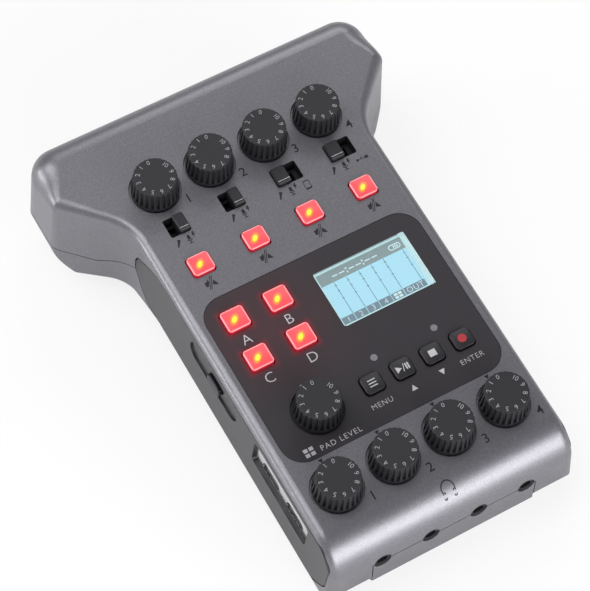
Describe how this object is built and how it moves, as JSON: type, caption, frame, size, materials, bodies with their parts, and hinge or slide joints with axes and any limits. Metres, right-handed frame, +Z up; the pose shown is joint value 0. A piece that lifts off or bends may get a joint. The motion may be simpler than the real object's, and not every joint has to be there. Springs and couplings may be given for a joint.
{
  "type": "podcast recorder",
  "caption": "Hand-held podcast recorder with microphone sockets at the rear, rotary dials, a lit screen, lit pads and keys, slide switches and headphone jacks.",
  "frame": {"origin": "bounding box bottom centre: on the ground, under the middle of the recorder", "axes": "+Z up; +Y towards the microphone sockets at the rear; +X to the user's right, towards the card slot"},
  "size_m": [0.1142, 0.1584, 0.0475],
  "materials": {
    "shell_paint": "fine silver metallic paint over moulded plastic",
    "dark_plastic": "fine matt texture",
    "dial_plastic": "matt, with grip flutes",
    "button_silicone": "translucent lit keytop",
    "key_plastic": "matt keytop",
    "clear_acrylic": "polished clear",
    "display": "backlit liquid crystal",
    "part_plastic": "moulded black",
    "circuit_board": "green solder mask",
    "screw_steel": "black plated",
    "plated_steel": "bright nickel plate",
    "latch_metal": "plain",
    "power_metal": "satin",
    "cell_sleeve": "printed sleeve, left plain",
    "foot_rubber": "matt"
  },
  "bodies": {
    "housing": {"top_shell": "shell_paint", "bottom_shell": "shell_paint", "shell_screws": "screw_steel", "feet": "foot_rubber", "control_panel": "dark_plastic", "screen_lens": "clear_acrylic", "lcd_module": "display", "indicator_lamps": "clear_acrylic", "potentiometers": "part_plastic", "tact_switches": "part_plastic", "slide_switches": "part_plastic", "main_board": "circuit_board", "input_board": "circuit_board", "xlr_socket_1": "part_plastic", "xlr_socket_2": "part_plastic", "xlr_socket_3": "part_plastic", "xlr_socket_4": "part_plastic", "headphone_jacks": "part_plastic", "phone_jack": "part_plastic", "card_slot": "plated_steel", "usb_sockets": "plated_steel", "left_side_panel": "dark_plastic", "right_side_panel": "dark_plastic", "usb_shield_plate": "plated_steel", "battery_cells": "cell_sleeve", "battery_contacts": "plated_steel"},
    "gain_knob_1": {"gain_knob_1": "dial_plastic"},
    "headphone_knob_1": {"headphone_knob_1": "dial_plastic"},
    "gain_knob_2": {"gain_knob_2": "dial_plastic"},
    "headphone_knob_2": {"headphone_knob_2": "dial_plastic"},
    "gain_knob_3": {"gain_knob_3": "dial_plastic"},
    "headphone_knob_3": {"headphone_knob_3": "dial_plastic"},
    "gain_knob_4": {"gain_knob_4": "dial_plastic"},
    "headphone_knob_4": {"headphone_knob_4": "dial_plastic"},
    "pad_volume_knob": {"pad_volume_knob": "dial_plastic"},
    "mute_button_1": {"mute_button_1": "button_silicone"},
    "mute_button_2": {"mute_button_2": "button_silicone"},
    "mute_button_3": {"mute_button_3": "button_silicone"},
    "mute_button_4": {"mute_button_4": "button_silicone"},
    "pad_button_a": {"pad_button_a": "button_silicone"},
    "pad_button_b": {"pad_button_b": "button_silicone"},
    "pad_button_c": {"pad_button_c": "button_silicone"},
    "pad_button_d": {"pad_button_d": "button_silicone"},
    "menu_key": {"menu_key": "key_plastic"},
    "play_key": {"play_key": "key_plastic"},
    "stop_key": {"stop_key": "key_plastic"},
    "record_key": {"record_key": "key_plastic"},
    "source_slider_1": {"source_slider_1": "dial_plastic"},
    "source_slider_2": {"source_slider_2": "dial_plastic"},
    "source_slider_3": {"source_slider_3": "dial_plastic"},
    "source_slider_4": {"source_slider_4": "dial_plastic"},
    "power_slider": {"power_slider": "power_metal"},
    "xlr_latch_1": {"xlr_latch_1": "latch_metal"},
    "xlr_latch_2": {"xlr_latch_2": "latch_metal"},
    "xlr_latch_3": {"xlr_latch_3": "latch_metal"},
    "xlr_latch_4": {"xlr_latch_4": "latch_metal"},
    "battery_door": {"battery_door": "dark_plastic"}
  },
  "joints": [
    {"name": "gain_knob_1_turn", "type": "hinge", "parent": "housing", "child": "gain_knob_1", "pos_m": [-0.027, 0.04572, 0.03925], "axis": [0, -0.1045, 0.9945], "range_deg": [-295, 5]},
    {"name": "headphone_knob_1_turn", "type": "hinge", "parent": "housing", "child": "headphone_knob_1", "pos_m": [-0.027, -0.0598, 0.02816], "axis": [0, -0.1045, 0.9945], "range_deg": [-288, 12]},
    {"name": "gain_knob_2_turn", "type": "hinge", "parent": "housing", "child": "gain_knob_2", "pos_m": [-0.009, 0.04572, 0.03925], "axis": [0, -0.1045, 0.9945], "range_deg": [-284, 16]},
    {"name": "headphone_knob_2_turn", "type": "hinge", "parent": "housing", "child": "headphone_knob_2", "pos_m": [-0.009, -0.0598, 0.02816], "axis": [0, -0.1045, 0.9945], "range_deg": [-298, 2]},
    {"name": "gain_knob_3_turn", "type": "hinge", "parent": "housing", "child": "gain_knob_3", "pos_m": [0.009, 0.04572, 0.03925], "axis": [0, -0.1045, 0.9945], "range_deg": [-284, 16]},
    {"name": "headphone_knob_3_turn", "type": "hinge", "parent": "housing", "child": "headphone_knob_3", "pos_m": [0.009, -0.0598, 0.02816], "axis": [0, -0.1045, 0.9945], "range_deg": [-298, 2]},
    {"name": "gain_knob_4_turn", "type": "hinge", "parent": "housing", "child": "gain_knob_4", "pos_m": [0.027, 0.04572, 0.03925], "axis": [0, -0.1045, 0.9945], "range_deg": [-289, 11]},
    {"name": "headphone_knob_4_turn", "type": "hinge", "parent": "housing", "child": "headphone_knob_4", "pos_m": [0.027, -0.0598, 0.02816], "axis": [0, -0.1045, 0.9945], "range_deg": [-299, 1]},
    {"name": "pad_volume_knob_turn", "type": "hinge", "parent": "housing", "child": "pad_volume_knob", "pos_m": [-0.02, -0.03692, 0.03056], "axis": [0, -0.1045, 0.9945], "range_deg": [-293, 7]},
    {"name": "mute_button_1_press", "type": "slide", "parent": "housing", "child": "mute_button_1", "axis": [0, 0.1045, -0.9945], "range_m": [0, 0.0008], "stiffness_N_per_m": 300, "springref_m": -0.0004},
    {"name": "mute_button_2_press", "type": "slide", "parent": "housing", "child": "mute_button_2", "axis": [0, 0.1045, -0.9945], "range_m": [0, 0.0008], "stiffness_N_per_m": 300, "springref_m": -0.0004},
    {"name": "mute_button_3_press", "type": "slide", "parent": "housing", "child": "mute_button_3", "axis": [0, 0.1045, -0.9945], "range_m": [0, 0.0008], "stiffness_N_per_m": 300, "springref_m": -0.0004},
    {"name": "mute_button_4_press", "type": "slide", "parent": "housing", "child": "mute_button_4", "axis": [0, 0.1045, -0.9945], "range_m": [0, 0.0008], "stiffness_N_per_m": 300, "springref_m": -0.0004},
    {"name": "pad_button_a_press", "type": "slide", "parent": "housing", "child": "pad_button_a", "axis": [0, 0.1045, -0.9945], "range_m": [0, 0.0008], "stiffness_N_per_m": 300, "springref_m": -0.0004},
    {"name": "pad_button_b_press", "type": "slide", "parent": "housing", "child": "pad_button_b", "axis": [0, 0.1045, -0.9945], "range_m": [0, 0.0008], "stiffness_N_per_m": 300, "springref_m": -0.0004},
    {"name": "pad_button_c_press", "type": "slide", "parent": "housing", "child": "pad_button_c", "axis": [0, 0.1045, -0.9945], "range_m": [0, 0.0008], "stiffness_N_per_m": 300, "springref_m": -0.0004},
    {"name": "pad_button_d_press", "type": "slide", "parent": "housing", "child": "pad_button_d", "axis": [0, 0.1045, -0.9945], "range_m": [0, 0.0008], "stiffness_N_per_m": 300, "springref_m": -0.0004},
    {"name": "menu_key_press", "type": "slide", "parent": "housing", "child": "menu_key", "axis": [0, 0.1045, -0.9945], "range_m": [0, 0.0008], "stiffness_N_per_m": 300, "springref_m": -0.0004},
    {"name": "play_key_press", "type": "slide", "parent": "housing", "child": "play_key", "axis": [0, 0.1045, -0.9945], "range_m": [0, 0.0008], "stiffness_N_per_m": 300, "springref_m": -0.0004},
    {"name": "stop_key_press", "type": "slide", "parent": "housing", "child": "stop_key", "axis": [0, 0.1045, -0.9945], "range_m": [0, 0.0008], "stiffness_N_per_m": 300, "springref_m": -0.0004},
    {"name": "record_key_press", "type": "slide", "parent": "housing", "child": "record_key", "axis": [0, 0.1045, -0.9945], "range_m": [0, 0.0008], "stiffness_N_per_m": 300, "springref_m": -0.0004},
    {"name": "source_slider_1_slide", "type": "slide", "parent": "housing", "child": "source_slider_1", "axis": [1, 0, 0], "range_m": [-0.0027, 0]},
    {"name": "source_slider_2_slide", "type": "slide", "parent": "housing", "child": "source_slider_2", "axis": [1, 0, 0], "range_m": [-0.0027, 0]},
    {"name": "source_slider_3_slide", "type": "slide", "parent": "housing", "child": "source_slider_3", "axis": [1, 0, 0], "range_m": [0, 0.0037]},
    {"name": "source_slider_4_slide", "type": "slide", "parent": "housing", "child": "source_slider_4", "axis": [1, 0, 0], "range_m": [0, 0.0037]},
    {"name": "power_slider_slide", "type": "slide", "parent": "housing", "child": "power_slider", "axis": [0, 0.9945, 0.1045], "range_m": [-0.002, 0.002], "stiffness_N_per_m": 200},
    {"name": "xlr_latch_1_press", "type": "slide", "parent": "housing", "child": "xlr_latch_1", "axis": [0, 0.1045, -0.9945], "range_m": [0, 0.0008], "stiffness_N_per_m": 400, "springref_m": -0.0004},
    {"name": "xlr_latch_2_press", "type": "slide", "parent": "housing", "child": "xlr_latch_2", "axis": [0, 0.1045, -0.9945], "range_m": [0, 0.0008], "stiffness_N_per_m": 400, "springref_m": -0.0004},
    {"name": "xlr_latch_3_press", "type": "slide", "parent": "housing", "child": "xlr_latch_3", "axis": [0, 0.1045, -0.9945], "range_m": [0, 0.0008], "stiffness_N_per_m": 400, "springref_m": -0.0004},
    {"name": "xlr_latch_4_press", "type": "slide", "parent": "housing", "child": "xlr_latch_4", "axis": [0, 0.1045, -0.9945], "range_m": [0, 0.0008], "stiffness_N_per_m": 400, "springref_m": -0.0004},
    {"name": "battery_door_lift", "type": "slide", "parent": "housing", "child": "battery_door", "axis": [0, 0.1045, -0.9945], "range_m": [0, 0.012]}
  ]
}
